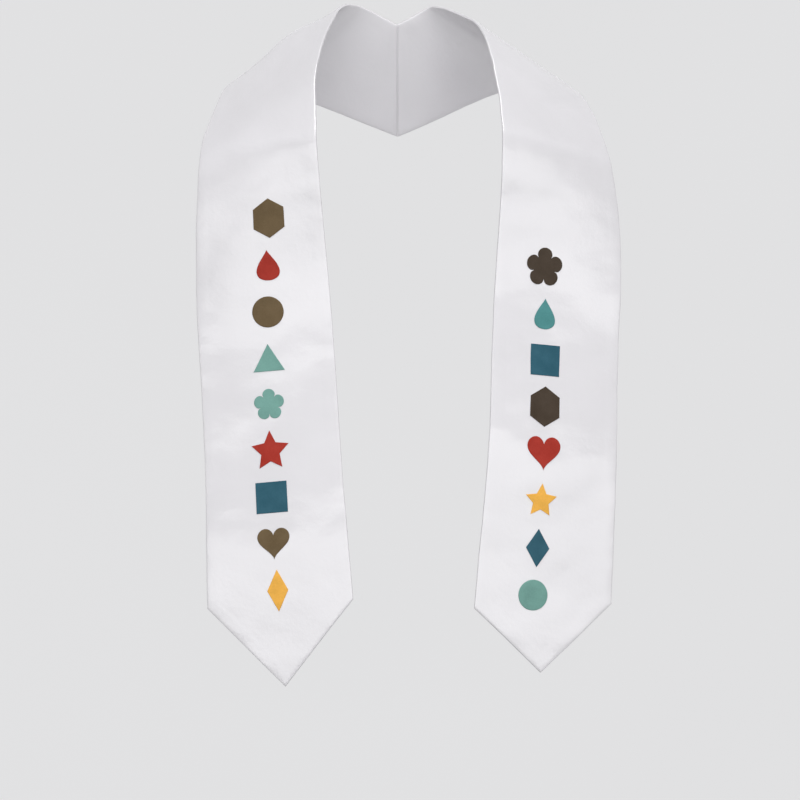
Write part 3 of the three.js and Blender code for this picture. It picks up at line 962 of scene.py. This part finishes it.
class STOLE_OT_sew_nape(bpy.types.Operator):
    """Sew the two halves together behind the neck"""

    bl_idname = "stole.sew_nape"
    bl_label = "Sew the nape seam"

    def execute(self, context):
        nape = context.scene.stole_nape
        half = HALVES[1]
        share = np.linspace(-SEWN_SHARE, SEWN_SHARE, SEAM_POINTS)
        points, edges = [], []
        for out in (STITCH_OUT * CLOTH / 2, -STITCH_OUT * CLOTH / 2):
            line = half.bent_points(-share * MITRE_RUN, share * NAPE_WIDTH, np.full(len(share), out))
            line[:, 0] = -NAPE_SHIFT * MM
            edges += [(len(points) + n, len(points) + n + 1) for n in range(len(share) - 1)]
            points += line.tolist()
        mesh = bpy.data.meshes.new("nape path")
        mesh.from_pydata(points, edges, [])
        path = bpy.data.objects.new("nape path", mesh)
        context.scene.collection.objects.link(path)
        thread = shared_material("sewing thread", lambda: thread_material(nape))
        modifier = path.modifiers.new("stitches", "NODES")
        modifier.node_group = stitch_tree(thread)
        set_input(modifier, "Stitch pitch", nape.stitch_pitch)
        set_input(modifier, "Stitch length", nape.stitch_length)
        set_input(modifier, "Thread width", nape.thread_width)
        set_input(modifier, "Seed", nape.wander_seed)
        made = bpy.data.meshes.new_from_object(path.evaluated_get(context.evaluated_depsgraph_get()))
        bpy.data.objects.remove(path)
        if not made.polygons:
            raise RuntimeError("the nape seam has no stitches")
        made.name = "nape_stitches"
        piece = bpy.data.objects.new("nape_stitches", made)
        context.scene.collection.objects.link(piece)
        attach(piece, "root")
        return {"FINISHED"}


def soft_light(name, power, size, place):
    light = bpy.data.lights.new(name, "AREA")
    light.energy = power
    light.shape = "RECTANGLE"
    light.size, light.size_y = size
    lamp = bpy.data.objects.new(name, light)
    lamp.location = place
    lamp.rotation_euler = (Vector(LIGHT_AIM) - Vector(place)).to_track_quat("-Z", "Y").to_euler()
    bpy.context.scene.collection.objects.link(lamp)
    return lamp


class STOLE_OT_set_studio(bpy.types.Operator):
    """Set up a pale floor that sweeps up all round, soft lights and the camera"""

    bl_idname = "stole.set_studio"
    bl_label = "Set up the studio"

    def execute(self, context):
        studio = context.scene.stole_studio
        section = [(0.01, 0.0), (1.5, 0.0), (FLOOR_RADIUS, 0.0)]
        for turn in np.radians(np.arange(10, 91, 10)):
            out = FLOOR_RADIUS + SWEEP_RADIUS * math.sin(turn)
            section.append((out, SWEEP_RADIUS * (1 - math.cos(turn))))
        section.append((FLOOR_RADIUS + SWEEP_RADIUS, BACKDROP_HEIGHT))
        points, faces = [], []
        for radius, rise in section:
            for n in range(FLOOR_SIDES):
                angle = 2 * math.pi * n / FLOOR_SIDES
                x, y = radius * math.cos(angle), radius * math.sin(angle)
                points.append((x, y, rise - studio.floor_drop))
        for row in range(len(section) - 1):
            near, far = row * FLOOR_SIDES, (row + 1) * FLOOR_SIDES
            for n in range(FLOOR_SIDES):
                after = (n + 1) % FLOOR_SIDES
                faces.append((near + n, far + n, far + after, near + after))
        faces.append(tuple(range(FLOOR_SIDES)))
        mesh = bpy.data.meshes.new("studio_floor")
        mesh.from_pydata(points, [], faces)
        mesh.polygons.foreach_set("use_smooth", [True] * len(mesh.polygons))
        mesh.materials.append(studio_material(studio))
        floor = bpy.data.objects.new("studio_floor", mesh)
        floor.visible_diffuse = False
        floor.visible_shadow = False
        context.scene.collection.objects.link(floor)

        world = bpy.data.worlds.new("room light")
        world.use_nodes = True
        background = world.node_tree.nodes["Background"]
        background.inputs["Color"].default_value = (1, 1, 1, 1)
        background.inputs["Strength"].default_value = studio.room_light
        context.scene.world = world
        soft_light("key light", studio.key_power, KEY_SIZE, KEY_PLACE)
        soft_light("top light", studio.top_power, TOP_SIZE, TOP_PLACE)
        back = soft_light("back light", studio.back_power, BACK_SIZE, BACK_PLACE)
        back.visible_glossy = False

        camera = bpy.data.objects.new("camera", bpy.data.cameras.new("camera"))
        camera.data.sensor_width = SENSOR
        camera.data.lens = LENS
        camera.data.clip_end = SIGHT
        camera.location = CAMERA_PLACE
        camera.rotation_euler = (math.radians(90), 0, 0)
        context.scene.collection.objects.link(camera)
        context.scene.camera = camera
        context.scene.view_settings.view_transform = "Standard"
        return {"FINISHED"}


class STOLE_PT_sidebar(bpy.types.Panel):
    """The steps that make the stole, in order"""

    bl_idname = "STOLE_PT_sidebar"
    bl_label = "Graduation stole"
    bl_space_type = "VIEW_3D"
    bl_region_type = "UI"
    bl_category = "Stole"

    def draw(self, context):
        for operator, group in (
            (STOLE_OT_drape_halves, context.scene.stole_cloth),
            (STOLE_OT_print_shapes, context.scene.stole_inks),
            (STOLE_OT_sew_nape, context.scene.stole_nape),
            (STOLE_OT_set_studio, context.scene.stole_studio),
        ):
            box = self.layout.box()
            box.operator(operator.bl_idname)
            for name in type(group).__annotations__:
                box.prop(group, name)


CLASSES = (
    StoleCloth,
    StoleInks,
    StoleNape,
    StoleStudio,
    STOLE_OT_drape_halves,
    STOLE_OT_print_shapes,
    STOLE_OT_sew_nape,
    STOLE_OT_set_studio,
    STOLE_PT_sidebar,
)


def register():
    for cls in CLASSES:
        bpy.utils.register_class(cls)
    bpy.types.Scene.stole_cloth = PointerProperty(type=StoleCloth)
    bpy.types.Scene.stole_inks = PointerProperty(type=StoleInks)
    bpy.types.Scene.stole_nape = PointerProperty(type=StoleNape)
    bpy.types.Scene.stole_studio = PointerProperty(type=StoleStudio)


def unregister():
    del bpy.types.Scene.stole_studio
    del bpy.types.Scene.stole_nape
    del bpy.types.Scene.stole_inks
    del bpy.types.Scene.stole_cloth
    for cls in reversed(CLASSES):
        bpy.utils.unregister_class(cls)


def main():
    register()
    bpy.ops.stole.drape_halves()
    bpy.ops.stole.print_shapes()
    bpy.ops.stole.sew_nape()
    bpy.ops.stole.set_studio()


if __name__ == "__main__":
    main()
